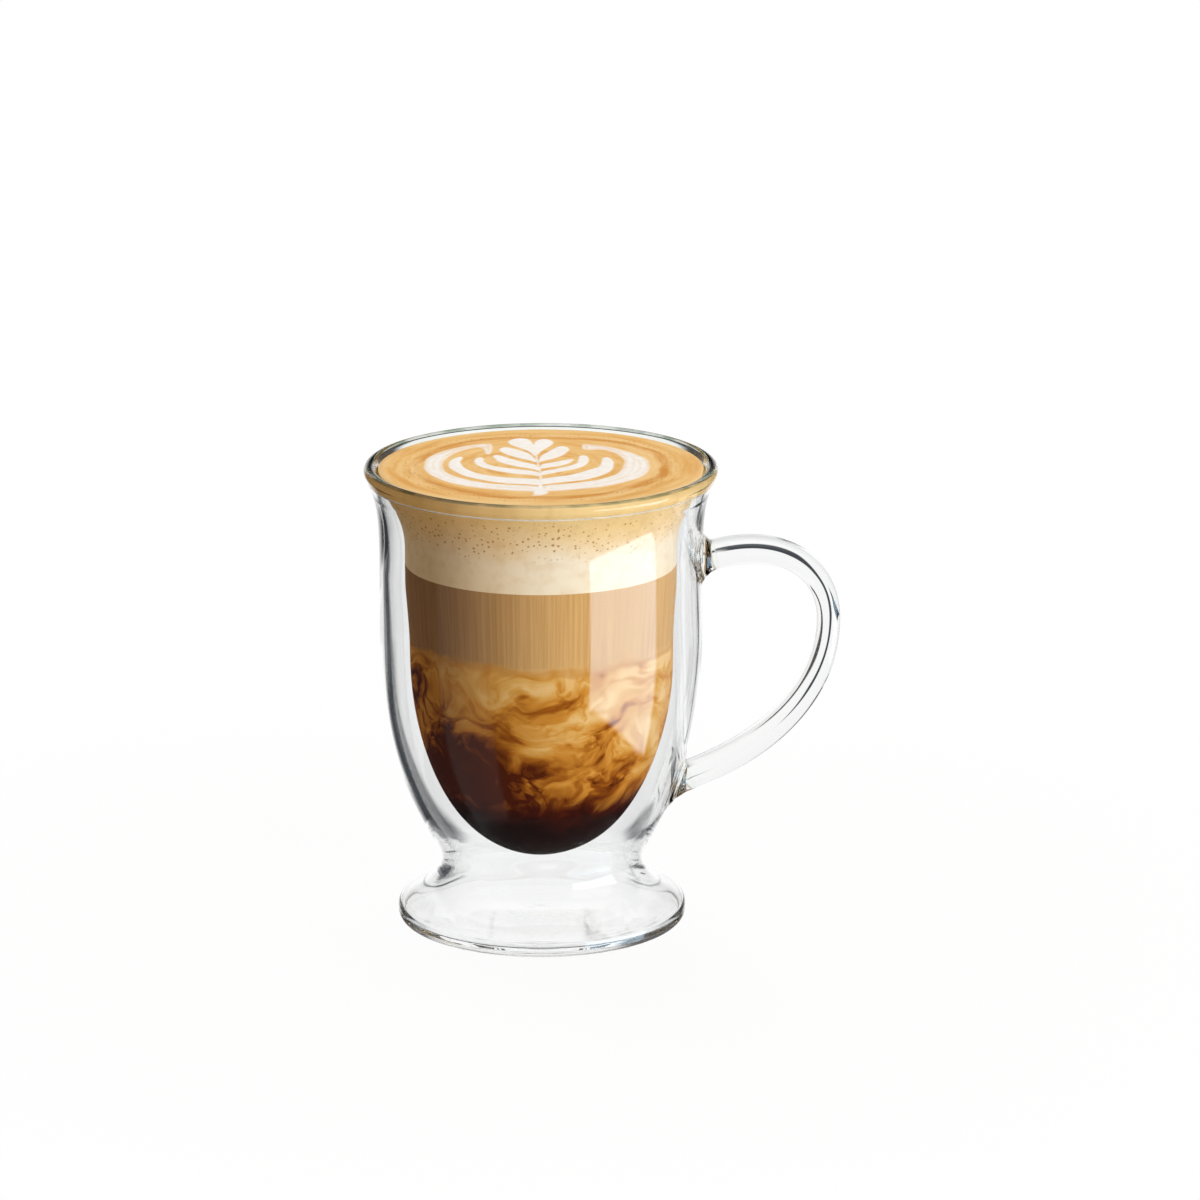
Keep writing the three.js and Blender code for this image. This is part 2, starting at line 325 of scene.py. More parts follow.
class Graph:
    """Builds one shader graph."""

    def __init__(self, tree):
        self.tree = tree
        tree.nodes.clear()

    def node(self, kind, inputs=None, **settings):
        """A node whose inputs, by name or by number, take values or other nodes' outputs."""
        made = self.tree.nodes.new(kind)
        for name, value in settings.items():
            setattr(made, name, value)
        for name, value in (inputs or {}).items():
            if isinstance(value, bpy.types.NodeSocket):
                self.tree.links.new(value, made.inputs[name])
            else:
                made.inputs[name].default_value = value
        return made

    def math(self, operation, a, b=0.0, clamp=False):
        made = self.node("ShaderNodeMath", {0: a, 1: b}, operation=operation, use_clamp=clamp)
        return made.outputs[0]

    def chain(self, operation, first, *others):
        """One operation over all the values in turn."""
        for value in others:
            first = self.math(operation, first, value)
        return first

    def product(self, *values):
        return self.chain("MULTIPLY", *values)

    def total(self, *values):
        return self.chain("ADD", *values)

    def highest(self, *values):
        return self.chain("MAXIMUM", *values)

    def distance(self, x, y):
        return self.math("SQRT", self.total(self.product(x, x), self.product(y, y)))

    def turn(self, x, y):
        """Angle round the axis, from the camera's side to the right."""
        return self.math("ARCTAN2", x, self.product(y, -1.0))

    def shifted(self, value, noise, reach):
        """The value moved up and down by a noise, over that reach in all."""
        return self.total(value, self.product(self.math("SUBTRACT", noise, 0.5), reach))

    def mix(self, share, a, b, blend="MIX"):
        made = self.node("ShaderNodeMix", {0: share, 6: a, 7: b},
                         data_type="RGBA", blend_type=blend, clamp_factor=True)
        return made.outputs[2]

    def blend(self, share, a, b):
        made = self.node("ShaderNodeMix", {0: share, 2: a, 3: b}, data_type="FLOAT", clamp_factor=True)
        return made.outputs[0]

    def span(self, value, low, high, start=0.0, end=1.0, smooth=True):
        """The value's place between low and high, from start to end."""
        kind = "SMOOTHSTEP" if smooth else "LINEAR"
        inputs = dict(enumerate((value, low, high, start, end)))
        made = self.node("ShaderNodeMapRange", inputs, interpolation_type=kind, clamp=True)
        return made.outputs[0]

    def band(self, value, low, low_full, high_full, high):
        """1 between the two full values, and down to 0 at low and high."""
        return self.product(self.span(value, low, low_full), self.span(value, high, high_full))

    def ramp(self, value, *stops):
        made = self.node("ShaderNodeValToRGB", {"Fac": value})
        ramp = made.color_ramp
        while len(ramp.elements) < len(stops):
            ramp.elements.new(0.5)
        for element, (place, colour) in zip(ramp.elements, stops):
            element.position = place
            element.color = colour
        return made.outputs[0]

    def noise(self, place, scale, detail=3.0, roughness=0.5, output=0):
        made = self.node("ShaderNodeTexNoise", {
            "Vector": place, "Scale": scale, "Detail": detail, "Roughness": roughness,
        })
        return made.outputs[output]

    def vector(self, operation, a, b):
        second = "Scale" if operation == "SCALE" else 1
        made = self.node("ShaderNodeVectorMath", {0: a, second: b}, operation=operation)
        return made.outputs[0]

    def combine(self, x, y, z):
        return self.node("ShaderNodeCombineXYZ", {0: x, 1: y, 2: z}).outputs[0]

    def place(self):
        """The piece's own coordinates in millimetres, and their x, y and z."""
        coordinates = self.node("ShaderNodeTexCoord").outputs["Object"]
        scaled = self.vector("SCALE", coordinates, 1 / MM)
        parts = self.node("ShaderNodeSeparateXYZ", {"Vector": scaled})
        return scaled, parts.outputs[0], parts.outputs[1], parts.outputs[2]

    def shader(self, kind, inputs):
        return self.node(kind, inputs).outputs[0]

    def either(self, share, a, b):
        """Shader a where share is 0, and b where it is 1."""
        return self.shader("ShaderNodeMixShader", {0: share, 1: a, 2: b})

    def finish(self, shader):
        self.node("ShaderNodeOutputMaterial", {"Surface": shader})


def new_graph(name):
    material = bpy.data.materials.new(name)
    material.use_nodes = True
    return material, Graph(material.node_tree)


WHITE = (1, 1, 1, 1)
NEARLY_CLEAR = (0.985, 0.985, 0.985, 1)
# Dark green of the lip's crown: partly the green of thick glass, partly painted shade for the rim's dark
# line
CROWN_GREEN_AND_PAINTED_SHADE = (0.13, 0.19, 0.13, 1)
THIN_TINTS = ((0.985, 0.991, 0.987, 1), (0.994, 0.997, 0.995, 1))
THICK_TINTS = ((0.93, 0.965, 0.925, 1), (0.95, 0.975, 0.945, 1))
WET_TINTS = ((0.985, 0.988, 0.985, 1), (0.995, 0.996, 0.995, 1))
GLASS_IOR = 1.47
WET_CALM = 0.95
# The crown's painted shade is full from this depth below the rim, and fades out over the next fade below
# it
CROWN_DEPTH = 0.3
CROWN_FADE = 0.35


def finish_glass(g, seen):
    """Light from lamps passes the glass straight, so that the drink inside is lit."""
    through = g.shader("ShaderNodeBsdfTransparent", {"Color": NEARLY_CLEAR})
    path = g.node("ShaderNodeLightPath").outputs
    g.finish(g.either(g.highest(path["Is Shadow Ray"], path["Is Diffuse Ray"]), seen, through))


def clear_glass(name, dark, light, calm=0.0, crown=None):
    """Clear glass between two faint tints, calmer in its reflections where a drink wets it. Above the
    height that crown gives, it turns dark green in streaks: partly the green of thick glass, partly
    painted shade that draws the rim's dark line."""
    material, g = new_graph(name)
    place, _, _, z = g.place()
    tint = g.ramp(g.noise(place, 0.05, detail=2.0), (0.3, dark), (0.7, light))
    if crown is not None:
        # Painted shade: streaks of dark green on the crown draw the rim's dark line
        streaks = g.span(g.noise(place, 0.12, detail=2.0), 0.35, 0.6, 0.45, 1.0)
        tint = g.mix(g.product(g.span(z, crown - CROWN_FADE, crown), streaks), tint, CROWN_GREEN_AND_PAINTED_SHADE)
    body = g.shader("ShaderNodeBsdfPrincipled", {
        "Base Color": tint, "Roughness": 0.0, "IOR": GLASS_IOR, "Transmission Weight": 1.0,
    })
    bent = g.shader("ShaderNodeBsdfRefraction", {"Color": tint, "Roughness": 0.0, "IOR": GLASS_IOR})
    finish_glass(g, g.either(calm, body, bent))
    return material


def fused_seam():
    """A face where two pieces of glass are melted together, so that no surface is left to see."""
    material, g = new_graph("fused_seam")
    g.finish(g.shader("ShaderNodeBsdfTransparent", {"Color": WHITE}))
    return material


def joint_with_painted_highlight():
    """The rounded joint that closes the gap under the lip, part white and diffuse: a painted highlight for
    the pale line of light there.
    """
    material, g = new_graph("joint_with_painted_highlight")
    place, _, _, _ = g.place()
    cloud = g.noise(place, 0.08, detail=2.0)
    # Pale greys of the painted highlight
    tint = g.ramp(cloud, (0.35, (0.8, 0.82, 0.8, 1)), (0.65, (0.97, 0.97, 0.96, 1)))
    finish_glass(g, g.shader("ShaderNodeBsdfPrincipled", {
        "Base Color": tint, "Roughness": 0.15, "IOR": GLASS_IOR, "Transmission Weight": 0.6,
    }))
    return material


# Roughness and specular level of the drink behind glass, and of its open top
SIDE_FINISH = (0.6, 0.0)
TOP_FINISH = (0.5, 0.04)


def drink_surface(g, colour, roughness, specular):
    g.finish(g.shader("ShaderNodeBsdfPrincipled", {
        "Base Color": colour, "Roughness": roughness, "Specular IOR Level": specular,
    }))


UNROLLED_RADIUS = 34.0


def side_direction(g, x, y):
    """Unit direction round the axis, so that patterns have no seam, and the distance from the axis."""
    radius = g.highest(g.distance(x, y), 0.01)
    return g.math("DIVIDE", x, radius), g.math("DIVIDE", y, radius), radius


def unrolled(g, x, y, z):
    """A flat map of the side: distance round a barrel of middling radius, and height.
    Its seam lies at the back."""
    return g.combine(g.product(g.turn(x, y), UNROLLED_RADIUS), z, 0.0)


def specks(g, flat, scale, least, share, largest):
    """Small round marks: how far each spot lies inside one, in a share of the cells."""
    cells = g.node("ShaderNodeTexVoronoi", {"Vector": flat, "Scale": scale, "Randomness": 1.0},
                   voronoi_dimensions="2D")
    chosen = g.node("ShaderNodeSeparateColor", {"Color": cells.outputs["Color"]})
    size = g.product(g.span(chosen.outputs[0], least, 1.0, 0.03, largest, smooth=False), share)
    return g.span(g.math("SUBTRACT", size, cells.outputs["Distance"]), 0.0, 0.06)


def foam_colour(g, place, x, y, z):
    """Tan crema that fades down into cream foam, with small brown bubbles, painted shade that darkens and
    warms it towards the left, and painted light in the tan near the lip.
    """
    height = g.shifted(z, g.noise(place, 0.06), 9.0)
    share = g.span(height, 93.0, 117.0, smooth=False)
    # The upper stops are partly the crema's own tan and partly painted light, lightened against the shade
    # under the lip
    body = g.ramp(
        share,
        (0.0, linear(248, 236, 212)), (0.33, linear(249, 238, 217)),
        (0.57, linear(247, 223, 181)), (0.77, linear(249, 218, 160)), (1.0, linear(251, 219, 158)),
    )
    mottle = g.noise(place, 0.35, detail=4.0)
    body = g.mix(g.span(mottle, 0.42, 0.75, 0.0, 0.3), body, linear(220, 184, 128))
    # Painted shade: darker and warmer towards the left, the side away from the key lamp
    body = g.mix(g.span(x, 8.0, -24.0), body, (1.0, 0.87, 0.7, 1), "MULTIPLY")
    flat = unrolled(g, x, y, z)
    patchy = g.span(g.noise(place, 0.07, detail=1.0), 0.25, 0.6, 0.7, 1.0)
    present = g.product(g.band(z, 96.0, 106.0, 112.0, 114.5), patchy)
    small = specks(g, flat, 0.72, 0.25, present, 0.3)
    large = specks(g, flat, 0.3, 0.6, present, 0.15)
    return g.mix(g.product(g.highest(small, large), 0.75), body, linear(178, 118, 52))


def stirred(g, place, scale, detail, reach):
    """Coordinates that a noise pulls about, over that reach in all."""
    pull = g.vector("SUBTRACT", g.noise(place, scale, detail, output=1), (0.5, 0.5, 0.5))
    return g.vector("ADD", place, g.vector("SCALE", pull, reach))


def curl(g, place, offset, scale, roughness, width):
    """A thin line along the middle level of a noise."""
    noise = g.noise(g.vector("ADD", place, offset), scale, roughness=roughness)
    return g.span(g.math("ABSOLUTE", g.math("SUBTRACT", noise, 0.5)), width, 0.0)


def coffee_colour(g, place, x, y, z):
    """Streaked milk coffee over marbled caramel swirls over nearly black espresso, the upper two with
    painted shade that darkens them towards the left.
    """
    dx, dy, _ = side_direction(g, x, y)
    streak_place = g.combine(g.product(dx, 60.0), g.product(dy, 60.0), g.product(z, 0.03))
    streak = g.noise(streak_place, 1.0, detail=2.0, roughness=0.6)
    # Painted shade: the milk coffee's browns darken towards the left, the side away from the key lamp
    side = g.span(x, -30.0, 10.0)
    milky = g.mix(
        g.span(streak, 0.3, 0.7),
        g.mix(side, linear(152, 110, 70), linear(206, 161, 101)),
        g.mix(side, linear(166, 124, 82), linear(219, 178, 119)),
    )
    drawn = stirred(g, place, 0.035, 2.0, 42.0)
    drawn = stirred(g, drawn, 0.09, 3.0, 15.0)
    drawn = g.vector("MULTIPLY", drawn, (1.0, 1.0, 1.7))
    cloud = g.noise(drawn, 0.055, detail=6.0, roughness=0.55)
    long_curl = curl(g, drawn, (71.0, 13.0, 5.0), 0.04, 0.45, 0.06)
    fine_curl = curl(g, drawn, (11.0, 47.0, 91.0), 0.1, 0.5, 0.07)
    among = g.span(g.noise(place, 0.05, detail=1.0), 0.35, 0.6, 0.25, 1.0)
    depth = g.span(z, 76.0, 36.0, -0.12, 0.27, smooth=False)
    pocket = g.product(g.band(x, -30.0, -21.0, -10.0, -1.0), g.band(z, 35.0, 42.0, 51.0, 61.0))
    # Its term in x is painted shade that darkens the marbling towards the left
    tone = g.total(
        g.shifted(0.4, cloud, 1.5), depth,
        g.product(long_curl, among, 0.21), g.product(fine_curl, among, 0.15),
        g.span(x, 16.0, -26.0, -0.1, 0.1), g.product(pocket, 0.4),
    )
    marbled = g.ramp(
        tone,
        (0.18, linear(236, 200, 140)), (0.36, linear(222, 172, 94)), (0.54, linear(204, 138, 50)),
        (0.72, linear(152, 84, 16)), (0.92, linear(84, 31, 3)),
    )
    ripple = g.noise(g.vector("MULTIPLY", place, (1.0, 1.0, 2.5)), 0.08, detail=4.0)
    border = g.shifted(z, ripple, 8.0)
    upper = g.mix(g.span(border, 71.5, 75.5), marbled, milky)
    seam = g.band(border, 71.0, 72.5, 73.0, 74.5)
    upper = g.mix(g.product(seam, 0.5), upper, linear(196, 134, 58))
    tongues = g.shifted(z, g.noise(drawn, 0.13, detail=5.0, roughness=0.55), 15.0)
    deep = g.mix(g.span(tongues, 29.5, 38.0), linear(32, 8, 3), linear(80, 25, 4))
    return g.mix(g.span(tongues, 34.5, 41.0), deep, upper)


def side_material(name, colour):
    """Drink seen through the glass that it wets."""
    material, g = new_graph(name)
    place, x, y, z = g.place()
    drink_surface(g, colour(g, place, x, y, z), *SIDE_FINISH)
    return material


def crema_top(g, place, x, y):
    """Tan crema with rings drawn out by the pour, darker and speckled round the figure."""
    dx, dy, radius = side_direction(g, x, y)
    wander = g.noise(g.combine(dx, dy, 0.0), 1.7)
    ring = g.shifted(radius, wander, 3.5)
    drawn = g.combine(g.product(dx, 1.6), g.product(dy, 1.6), g.product(ring, 0.32))
    rings = g.noise(drawn, 1.0, detail=5.0, roughness=0.6)
    tan = g.ramp(
        rings,
        (0.3, linear(243, 208, 150)), (0.5, linear(236, 193, 125)), (0.68, linear(224, 167, 91)),
    )
    dark = g.product(g.band(ring, 29.3, 31.0, 32.0, 33.8), g.span(rings, 0.36, 0.62, 0.1, 0.8))
    tan = g.mix(dark, tan, linear(208, 140, 62))
    dot = specks(g, place, 0.8, 0.5, g.band(ring, 27.0, 32.0, 34.0, 39.0), 0.24)
    tan = g.mix(g.product(dot, 0.6), tan, linear(150, 88, 34))
    return g.mix(g.span(ring, 37.5, 41.0, 0.0, 0.5), tan, linear(234, 200, 148))


def crema_material():
    """The poured surface on top, and the tan foam below it where the glass shows it from the side."""
    material, g = new_graph("crema")
    place, x, y, z = g.place()
    facing = g.node("ShaderNodeNewGeometry").outputs["Normal"]
    up = g.node("ShaderNodeSeparateXYZ", {"Vector": facing}).outputs[2]
    colour = g.mix(g.span(up, 0.3, 0.7), foam_colour(g, place, x, y, z), crema_top(g, place, x, y))
    drink_surface(g, colour, *TOP_FINISH)
    return material


def art_material():
    """Poured milk: white where it is thick, and the crema's tan where it thins out."""
    material, g = new_graph("latte_art")
    place, x, y, _ = g.place()
    milk = g.node("ShaderNodeAttribute", attribute_name="milk").outputs["Fac"]
    grain = g.noise(place, 0.5, detail=4.0)
    share = g.span(g.shifted(milk, grain, 0.12), 0.08, 0.85)
    white = g.mix(g.span(grain, 0.35, 0.65), linear(247, 243, 236), linear(251, 250, 248))
    drink_surface(g, g.mix(share, crema_top(g, place, x, y), white), *TOP_FINISH)
    return material


GLASS = clear_glass("clear_glass", *THIN_TINTS)
THICK_GLASS = clear_glass("thick_glass", *THICK_TINTS)
WET_GLASS = clear_glass("wetted_glass", *WET_TINTS, WET_CALM)
LIP_GLASS = clear_glass("lip_glass", *THICK_TINTS, crown=MUG_HEIGHT - CROWN_DEPTH)
SEAM = fused_seam()
# Glass with a painted highlight, for the pale line of light under the lip
PAINTED_HIGHLIGHT = joint_with_painted_highlight()


def show(piece, body, node):
    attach(piece, body)
    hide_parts(node)


# Handle: where its ends lie, and its centre line

SIDEWAYS = row(0, 1, 0)


def strap_end(height, rise):
    outward = row(math.cos(rise), 0, math.sin(rise))
    wall = row(radius_at(OUTER, height), 0, height)
    return wall + WELD_LENGTH * outward, outward


top_start, top_outward = strap_end(*STRAP_TOP)
low_start, low_outward = strap_end(*STRAP_LOW)
shoulder = row(STRAP_REACH, 0, top_start[2] - STRAP_SHOULDER_DROP)
low_drop = shoulder[2] - low_start[2]
strap_line = join(
    cubic(top_start, top_start + SHOULDER_PULLS[0] * (STRAP_REACH - top_start[0]) * top_outward,
          shoulder + row(0, 0, SHOULDER_PULLS[1] * STRAP_SHOULDER_DROP), shoulder, 60),
    cubic(shoulder, shoulder - row(0, 0, LOW_PULLS[0] * low_drop),
          low_start + LOW_PULLS[1] * (STRAP_REACH - low_start[0]) * low_outward, low_start, 70),
)


def oval():
    """Directions round an oval section: shares across the strap's thickness and its width."""
    angle = np.linspace(0, 2 * math.pi, OVAL_POINTS, endpoint=False)
    flat = 2 / OVAL
    return (np.sign(np.cos(angle)) * np.abs(np.cos(angle)) ** flat,
            np.sign(np.sin(angle)) * np.abs(np.sin(angle)) ** flat)


def tube(rings):
    """Faces of a closed tube over rings of points that all have the same count; its two ends come last."""
    count = len(rings[0])
    faces = []
    for i in range(len(rings) - 1):
        for k in range(count):
            n = (k + 1) % count
            faces.append([i * count + k, i * count + n, (i + 1) * count + n, (i + 1) * count + k])
    faces.append(list(range(count))[::-1])
    faces.append([(len(rings) - 1) * count + k for k in range(count)])
    return faces


def strap():
    across, wide = oval()
    along = np.gradient(strap_line, axis=0)
    along /= np.linalg.norm(along, axis=1)[:, None]
    normal = np.cross(SIDEWAYS, along)
    share = np.linspace(0, 1, len(strap_line))
    half = (STRAP_THICKNESS + STRAP_SWELL * np.cos(2 * math.pi * share)) / 2
    rings = [
        centre + np.outer(across * h, n) + np.outer(wide * STRAP_WIDTH / 2, SIDEWAYS)
        for centre, n, h in zip(strap_line, normal, half)
    ]
    faces = tube(rings)
    zones = zones_of((len(faces) - 2, 0), (2, 1))
    return add_mesh("glass_handle_strap", np.concatenate(rings), faces, [GLASS, SEAM], zones)


def weld_frame(start, outward):
    return start, -outward, np.cross(SIDEWAYS, -outward)


def to_wall(origin, inward):
    """How far each point travels inwards before it lies a hair off the outer wall."""
    near, far = np.zeros(len(origin)), np.full(len(origin), WELD_FARTHEST)
    for _ in range(HALVINGS):
        middle = (near + far) / 2
        spot = origin + middle[:, None] * inward
        outside = np.hypot(spot[:, 0], spot[:, 1]) > radius_at(OUTER, spot[:, 2]) + HAIR
        near, far = np.where(outside, middle, near), np.where(outside, far, middle)
    return near


def weld(name, start, outward, seed):
    """Glass drawn out from the strap's end to a wider, rippled foot on the wall."""
    start, inward, normal = weld_frame(start, outward)
    across, wide = oval()
    turn = np.arctan2(wide, across)
    spread = np.outer(across * STRAP_END_HALF, normal) + np.outer(wide * STRAP_WIDTH / 2, SIDEWAYS)
    reach = to_wall(start + WELD_SPREAD * spread, inward)
    wander = 0.22 * np.sin(2 * turn + seed) + 0.1 * np.sin(5 * turn + 2 * seed)
    rings = []
    for u in np.linspace(0, 1, WELD_RINGS):
        wave = np.sin(2 * math.pi * (3.3 * u + wander)) * math.sin(math.pi * u) ** 0.8
        swell = 1 + (WELD_SPREAD - 1) * u ** WELD_FLARE + WELD_RIPPLE * wave
        rings.append(start + reach[:, None] * u * inward + swell[:, None] * spread)
    for share in WELD_FOOT:
        origin = start + WELD_SPREAD * share * spread
        rings.append(origin + to_wall(origin, inward)[:, None] * inward)
    faces = tube(rings)
    fused = len(WELD_FOOT) * OVAL_POINTS + 2
    zones = zones_of((len(faces) - fused, 0), (fused, 1))
    return add_mesh(name, np.concatenate(rings), faces, [THICK_GLASS, SEAM], zones)


def under_weld(spot):
    """True for a spot of the outer wall that a weld's foot covers."""
    for start, outward in ((top_start, top_outward), (low_start, low_outward)):
        origin, _, normal = weld_frame(start, outward)
        across = (spot - origin) @ normal / STRAP_END_HALF
        wide = spot[1] / (STRAP_WIDTH / 2)
        place = (abs(across) ** OVAL + abs(wide) ** OVAL) ** (1 / OVAL)
        if spot[0] > 0 and place < WELD_COVER * WELD_SPREAD:
            return True
    return False


# Glass body

def denser_angles():
    """Angles round the axis, close together at the handle."""
    near = np.radians(np.arange(-HANDLE_ARC, HANDLE_ARC, 0.5))
    rest = np.radians(np.linspace(HANDLE_ARC, 360 - HANDLE_ARC, 176, endpoint=False))
    return np.concatenate([near, rest])


def hand_blown(r, z, angle):
    """Slow unevenness of the blown wall."""
    wave = 0.03 * np.sin(3 * angle + 0.11 * z) + 0.025 * np.sin(5 * angle - 0.17 * z + 1.3)
    return r + wave, z


def foot_floor_edge():
    """Radius of the flat floor inside the foot, where the rounding up to the wall starts."""
    return radius_at(OUTER_INSIDE, BASE_THICKNESS + HAIR) - FOOT_FILLET


def glass_wall():
    outside = stretch(OUTER, BASE_THICKNESS + HAIR, LIP_SEAM - HAIR)
    inside = stretch(OUTER_INSIDE, BASE_THICKNESS + FOOT_FILLET, LIP_SEAM - HAIR)
    turn = np.linspace(0, math.pi / 2, 11)[:-1]
    low = row(foot_floor_edge(), BASE_THICKNESS + HAIR)
    fillet = np.stack([low[0] + (inside[0, 0] - low[0]) * np.sin(turn),
                       inside[0, 1] - (inside[0, 1] - low[1]) * np.cos(turn)], 1)
    inside = np.vstack([fillet, inside])
    section = np.vstack([outside, inside[::-1]])
    zones = zones_of((len(outside) - 1, 0), (1, 1), (len(inside) - 1, 0), (1, 1))
    even_at_lip, even_at_foot = len(outside) + 6, len(section) - 22

    def uneven(i, r, z, angle):
        return hand_blown(r, z, angle) if even_at_lip < i < even_at_foot else (r, z)

    def mend(spot, zone):
        outer = math.hypot(spot[0], spot[1]) > radius_at(OUTER, spot[2]) - WALL / 2
        return 1 if zone == 0 and outer and under_weld(spot) else zone

    return turned("glass_outer_wall", section, [GLASS, SEAM], zones, denser_angles(), uneven, mend)


def glass_bell():
    outside = below(BELL, LIP_SEAM - HAIR)
    inside = below(BELL_INSIDE, LIP_SEAM - HAIR)
    section = np.vstack([outside, inside[::-1]])
    zones = zones_of((len(outside) - 1, 0), (1, 1), (len(inside) - 1, 0))
    return turned("glass_inner_bell", section, [WET_GLASS, SEAM], zones)


def glass_lip():
    outside = stretch(OUTER, LIP_SEAM, OUTER[-1, 1])
    inside = stretch(BELL_INSIDE, LIP_SEAM, BELL_INSIDE[-1, 1])
    turn = np.linspace(-OUTER_LIP_LEAN, math.pi - INNER_LIP_LEAN, 34)[1:-1]
    crown = np.array([on_lip(a) for a in turn])
    bell_edge = radius_at(BELL, LIP_SEAM)
    wall_edge = radius_at(OUTER_INSIDE, LIP_SEAM)
    arch = np.linspace(0, math.pi, 13)
    middle, half = (bell_edge + wall_edge) / 2, (wall_edge - bell_edge) / 2
    ceiling = np.stack([middle - half * np.cos(arch), LIP_SEAM + 1.1 * half * np.sin(arch)], 1)
    section = np.vstack([outside, crown, inside[::-1], ceiling])
    glass_edges = len(outside) + len(crown) + len(inside) - 1
    # The gap's ceiling carries the joint's painted highlight
    zones = zones_of((glass_edges, 0), (1, 1), (len(ceiling) - 1, 2), (1, 1))
    return turned("glass_lip", section, [LIP_GLASS, SEAM, PAINTED_HIGHLIGHT], zones)


def glass_base():
    turn = np.linspace(0, math.pi / 2, 13)
    edge = np.stack([FOOT_RADIUS - BASE_EDGE_ROUND * (1 - np.sin(turn)),
                     BASE_EDGE_ROUND * (1 - np.cos(turn))], 1)
    floor_r = np.linspace(foot_floor_edge(), SEAL_RADIUS, 110)
    from_wall, from_seal = floor_r[0] - floor_r, floor_r - SEAL_RADIUS
    fade = np.clip(np.minimum(from_wall / 4, from_seal / 3), 0, 1)
    dish = np.minimum(ease(from_wall, 0, 1.2), ease(from_seal, 0.0, 12.0))
    ripple = 0.03 * np.sin(floor_r * 0.8) + 0.008 * np.sin(floor_r * 1.9 + 1)
    floor = np.stack([floor_r, BASE_THICKNESS - FLOOR_DISH * dish + fade * ripple], 1)
    section = np.vstack([
        row(VENT_RADIUS, 0), edge, row(FOOT_RADIUS, BASE_THICKNESS), floor,
        row(VENT_RADIUS, BASE_THICKNESS),
    ])
    zones = zones_of((len(edge) + 1, 0), (1, 1), (len(floor) - 1, 0), (2, 1))
    return turned("glass_base", section, [GLASS, SEAM], zones)


def glass_vent_seal():
    """The plug, with a dome flatter than the frame's."""
    plug = VENT_RADIUS - HAIR
    low = BASE_THICKNESS + HAIR
    share = np.linspace(0, 1, 25)
    rise = SEAL_DOME * (SEAL_TOP - low) * ease(share, 0.0, 0.7)
    crown = np.stack([SEAL_RADIUS * (1 - share), low + rise], 1)
    crown[-1, 0] = 0
    section = np.vstack([row(0, 0), row(plug, 0), row(plug, low), crown])
    zones = zones_of((1, 0), (2, 1), (len(crown) - 1, 0))
    return turned("glass_vent_seal", section, [GLASS, SEAM], zones)


# Drink

def drink_layer(name, low, high, material):
    side = stretch(DRINK, low, high)
    section = np.vstack([row(0, low), side, row(0, high)])
    return turned(name, section, [material])


def espresso_bowl(name, high, material):
    return turned(name, np.vstack([below(DRINK, high), row(0, high)]), [material])


def crema_disc(name, low, high, material):
    """The top layer, with a rounded edge just inside the lip."""
    side = stretch(DRINK, low, high - CREMA_EDGE)
    edge = side[-1, 0]
    radius = np.linspace(edge - CREMA_EDGE_STEP, 0, 60)
    surface = np.stack([radius, high - CREMA_EDGE * np.exp(-(edge - radius) / CREMA_EDGE_FADE)], 1)
    return turned(name, np.vstack([row(0, low), side, surface]), [material])


# Rosetta, in hundredths of its radius: a swept ring, leaves along one stem on both sides, a heart of two
# lobes at the far end and a drip at the near one. Each row runs round one outline.
ART_RADIUS = 29.0
ART_CENTRE = row(0, 1.0)
ART_SPAN = 33
ART_PITCH = 0.3
LEAST_MILK = 0.04
MILK_RISE = (0.02, 0.07)
MILK_DEPTH = 0.2
LINE_SPACING = 1.7
CORNER_PASSES = 6
RINGS = (
    ((0, -90), (-8, -90), (-25, -87), (-42, -82), (-57, -75), (-70, -66), (-82, -53), (-91, -38),
     (-97, -23), (-100, -8), (-100, 7), (-99, 22), (-95, 35), (-88, 48), (-79, 60), (-68, 70),
     (-57, 77), (-46, 81), (-43, 77), (-42, 60), (-44, 42), (-48, 44), (-50, 62), (-56, 66), (-65, 58),
     (-73, 47), (-79, 35), (-83, 22), (-85, 7), (-84, -7), (-82, -20), (-75, -35), (-65, -47),
     (-53, -57), (-38, -64), (-22, -68), (-7, -71), (0, -78)),
    ((1, -90), (18, -87), (35, -82), (52, -74), (65, -64), (77, -52), (86, -39), (91, -24), (93, -9),
     (93, 7), (91, 22), (85, 35), (77, 48), (67, 60), (55, 70), (45, 75), (37, 77), (36, 68), (38, 57),
     (53, 57), (62, 48), (68, 36), (72, 22), (72, 5), (70, -12), (65, -30), (57, -42), (48, -51),
     (38, -57), (28, -62), (15, -66), (4, -70), (1, -78)),
)
